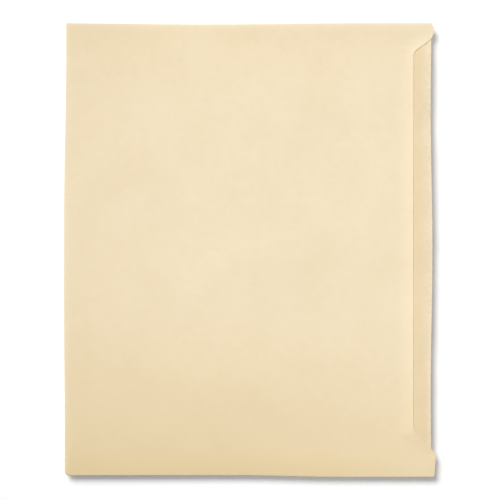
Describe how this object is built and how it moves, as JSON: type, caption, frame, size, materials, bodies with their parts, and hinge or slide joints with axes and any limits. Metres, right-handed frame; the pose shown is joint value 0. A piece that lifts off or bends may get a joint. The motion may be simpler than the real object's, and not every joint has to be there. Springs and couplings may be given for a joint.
{
  "type": "file jacket",
  "caption": "Letter-size expanding file jacket of manila card: a shorter front, a doubled straight tab and a creased gusset on three sides.",
  "frame": {"origin": "middle of the jacket's outline, on the surface that its back lies on", "axes": "+X from the bottom fold to the tab, +Y to the left side of a reader who holds the tab up, +Z from the back panel to the front panel"},
  "size_m": [0.2439, 0.2984, 0.0067],
  "materials": {
    "manila_card": "uncoated manila card stock, matte",
    "dried_glue": "dried glue film, sealed between plies"
  },
  "bodies": {
    "back": {"back_panel": "manila_card", "tab_ply": "manila_card", "tab_glue": "dried_glue", "left_glue_flap": "manila_card", "right_glue_flap": "manila_card", "left_flap_glue": "dried_glue", "right_flap_glue": "dried_glue"},
    "front": {"front_panel": "manila_card"},
    "bottom_back_leaf": {"bottom_gusset_back_leaf": "manila_card"},
    "bottom_front_leaf": {"bottom_gusset_front_leaf": "manila_card"},
    "left_back_leaf": {"left_gusset_back_leaf": "manila_card"},
    "left_front_leaf": {"left_gusset_front_leaf": "manila_card"},
    "right_back_leaf": {"right_gusset_back_leaf": "manila_card"},
    "right_front_leaf": {"right_gusset_front_leaf": "manila_card"}
  },
  "joints": [
    {"name": "bottom_back_crease", "type": "hinge", "parent": "back", "child": "bottom_back_leaf", "pos_m": [-0.12157, 0, 0.00079], "axis": [0, -1, 0], "range_deg": [0, 68], "stiffness_Nm_per_rad": 0.01, "springref_deg": 26.36},
    {"name": "bottom_centre_crease", "type": "hinge", "parent": "bottom_back_leaf", "child": "bottom_front_leaf", "pos_m": [-0.10902, 0, 0.0028], "axis": [0, 1, 0], "range_deg": [0, 136]},
    {"name": "bottom_front_crease", "type": "hinge", "parent": "bottom_front_leaf", "child": "front", "pos_m": [-0.12157, 0, 0.00482], "axis": [0, -1, 0], "range_deg": [0, 68]},
    {"name": "left_back_crease", "type": "hinge", "parent": "back", "child": "left_back_leaf", "pos_m": [0, 0.1488, 0.00079], "axis": [-1, 0, 0], "range_deg": [0, 68]},
    {"name": "left_front_crease", "type": "hinge", "parent": "front", "child": "left_front_leaf", "pos_m": [0, 0.1488, 0.00482], "axis": [1, 0, 0], "range_deg": [0, 68]},
    {"name": "right_back_crease", "type": "hinge", "parent": "back", "child": "right_back_leaf", "pos_m": [0, -0.1488, 0.00079], "axis": [1, 0, 0], "range_deg": [0, 68]},
    {"name": "right_front_crease", "type": "hinge", "parent": "front", "child": "right_front_leaf", "pos_m": [0, -0.1488, 0.00482], "axis": [-1, 0, 0], "range_deg": [0, 68]}
  ],
  "couplings": [
    {"joint": "bottom_centre_crease", "follows": "bottom_back_crease", "ratio": 2},
    {"joint": "bottom_front_crease", "follows": "bottom_back_crease", "ratio": 1},
    {"joint": "left_back_crease", "follows": "bottom_back_crease", "ratio": 1},
    {"joint": "left_front_crease", "follows": "bottom_back_crease", "ratio": 1},
    {"joint": "right_back_crease", "follows": "bottom_back_crease", "ratio": 1},
    {"joint": "right_front_crease", "follows": "bottom_back_crease", "ratio": 1}
  ]
}
